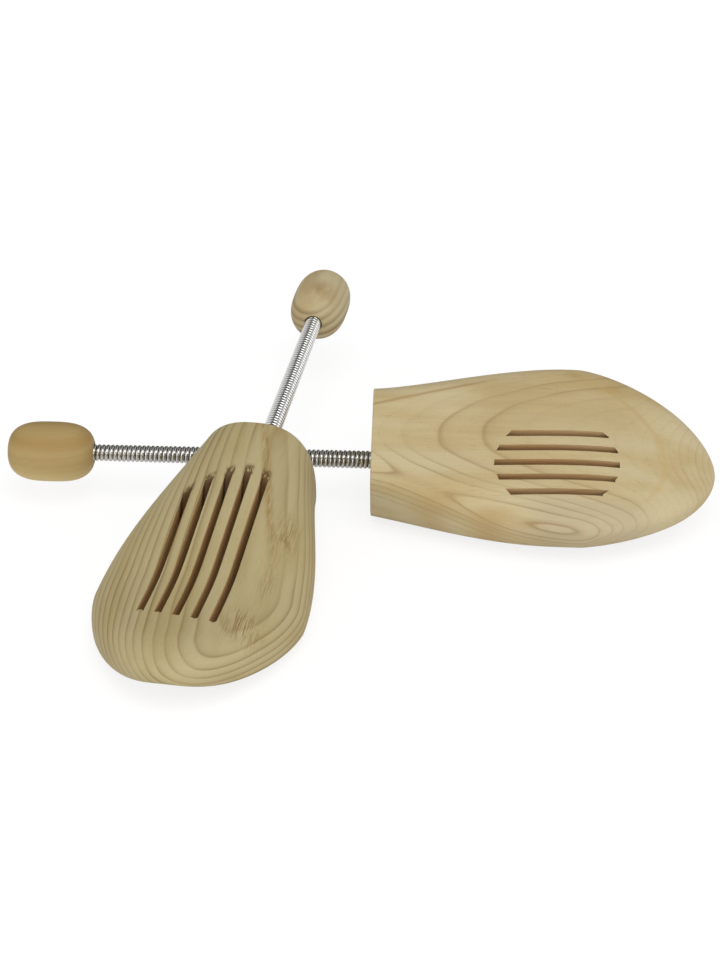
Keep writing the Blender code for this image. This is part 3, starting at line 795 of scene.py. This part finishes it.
def add_floor():
    """A wide round floor just under the pair."""
    turns = [2 * math.pi * i / FLOOR_SIDES for i in range(FLOOR_SIDES)]
    ring = [(FLOOR_RADIUS * math.cos(t), FLOOR_RADIUS * math.sin(t), -FLOOR_DROP) for t in turns]
    mesh = bpy.data.meshes.new("floor")
    mesh.from_pydata(ring, [], [tuple(range(FLOOR_SIDES))])
    floor = add_object("floor", mesh)
    mesh.materials.append(floor_material())


def world_math(tree, operation, *values):
    """Adds a math node to the world and gives its result."""
    node = tree.nodes.new("ShaderNodeMath")
    node.operation = operation
    for value, socket in zip(values, node.inputs):
        if isinstance(value, float):
            socket.default_value = value
        else:
            tree.links.new(value, socket)
    return node.outputs[0]


def add_world():
    """A white studio; metal mirrors a darker room with a pale wall at each side."""
    world = bpy.data.worlds.new("studio")
    bpy.context.scene.world = world
    world.use_nodes = True
    tree = world.node_tree
    back = tree.nodes["Background"]
    back.inputs["Color"].default_value = (1, 1, 1, 1)
    path = tree.nodes.new("ShaderNodeLightPath")
    aside = tree.nodes.new("ShaderNodeSeparateXYZ")
    tree.links.new(tree.nodes.new("ShaderNodeTexCoord").outputs["Generated"], aside.inputs[0])
    sideways = world_math(tree, "POWER", world_math(tree, "ABSOLUTE", aside.outputs[0]), 2.0)
    walls = world_math(tree, "MULTIPLY_ADD", sideways, MIRRORED_WALLS, MIRRORED_DARK)
    level = world_math(tree, "MULTIPLY_ADD", path.outputs["Is Camera Ray"], WORLD_EXTRA_TO_CAMERA, WORLD_LIGHT)
    strength = world_math(tree, "MULTIPLY_ADD", path.outputs["Is Glossy Ray"], walls, level)
    tree.links.new(strength, back.inputs["Strength"])


def add_lamp(name, location, size, power):
    """A soft round lamp that faces the pair."""
    data = bpy.data.lights.new(name, "AREA")
    data.shape, data.size, data.energy = "DISK", size, power
    lamp = bpy.data.objects.new(name, data)
    lamp.location = location
    lamp.rotation_mode = "QUATERNION"
    lamp.rotation_quaternion = (-Vector(location)).to_track_quat("-Z", "Y")
    bpy.context.scene.collection.objects.link(lamp)


def add_camera():
    """The camera where the photo was taken from, looking down at the pair."""
    camera = bpy.data.cameras.new("camera")
    camera.sensor_width = SENSOR
    camera.lens = SENSOR * FOCAL_PIXELS / PHOTO_HEIGHT
    item = bpy.data.objects.new("camera", camera)
    item.location = CAMERA_AT
    item.rotation_euler = (math.radians(90 - CAMERA_DOWN_DEG), 0, 0)
    bpy.context.scene.collection.objects.link(item)
    bpy.context.scene.camera = item


add_floor()
add_world()
for lamp in LAMPS:
    add_lamp(*lamp)
add_camera()
bpy.context.scene.view_settings.view_transform = "Standard"

# ---------------------------------------------------------------- the pair


def shades(pale, late, warm):
    """The three colours of a pine as shader colours."""
    return dict(pale=srgb(*pale), late=srgb(*late), warm=srgb(*warm))


left_look = dict(
    pith=(0, 0.030, 0.070), grain=(1, 0, -0.15), seed=3.0, stops=LEFT_STOPS, spacing=0.0030,
    bend=straighter_instep, blotch=0.6,
)
right_look = dict(
    pith=(0, 0.003, 0.030), grain=(1, 0, -0.16), seed=11.0, stops=RIGHT_STOPS, closer=330.0,
    bend=steeper_toe, fade=near_side_only, profile=FINE_LINE,
)
left_wood = pine(
    "left_pine", details=instep_details, **left_look,
    **shades(pale=(170, 156, 116), late=(124, 102, 60), warm=(160, 142, 94)),
)
right_wood = pine(
    "right_pine", details=sole_details, marks=0.22, **right_look,
    **shades(pale=(186, 171, 134), late=(146, 121, 80), warm=(178, 158, 114)),
)
# The left slot walls carry painted shade at the slots' rear ends
left_wall = pine(
    "left_slot_pine", details=shaded_slot_ends, **left_look,
    **shades(pale=(190, 156, 106), late=(142, 110, 68), warm=(174, 138, 88)),
)
right_wall = pine(
    "right_slot_pine", **right_look, **shades(pale=(206, 176, 132), late=(166, 130, 86), warm=(196, 160, 112)),
)
left_knob_wood = pine(
    "left_knob_pine", pith=(0, -0.002, 0.0305), grain=(1, 0.02, 0.04), seed=17.0, stops=LEFT_KNOB_STOPS,
    spacing=0.0036, details=spotted_knob, profile=SOFT_LINE,
    **shades(pale=(184, 171, 134), late=(130, 108, 72), warm=(172, 150, 108)),
)
right_knob_wood = pine(
    "right_knob_pine", pith=(0, 0.030, 0.050), grain=(1, 0.03, -0.05), seed=23.0, stops=RIGHT_KNOB_STOPS,
    details=lit_knob, **shades(pale=(162, 138, 89), late=(142, 115, 65), warm=(153, 127, 73)),
)
# Painted light and shade: the left wire is a brighter copy of the steel, as its spring faces the light, and the right
# wire a darker copy
left_lit_steel = steel_material("left_wire", (0.88, 0.88, 0.865), (0.92, 0.42))
right_shaded_steel = steel_material("right_wire", (0.57, 0.56, 0.53), (0.62, 0.12))

for side_name, wood, wall, knob_wood, steel in (
    ("left", left_wood, left_wall, left_knob_wood, left_lit_steel),
    ("right", right_wood, right_wall, right_knob_wood, right_shaded_steel),
):
    block(side_name, wood, wall)
    heel_knob(side_name, knob_wood)
    spring(side_name, steel)
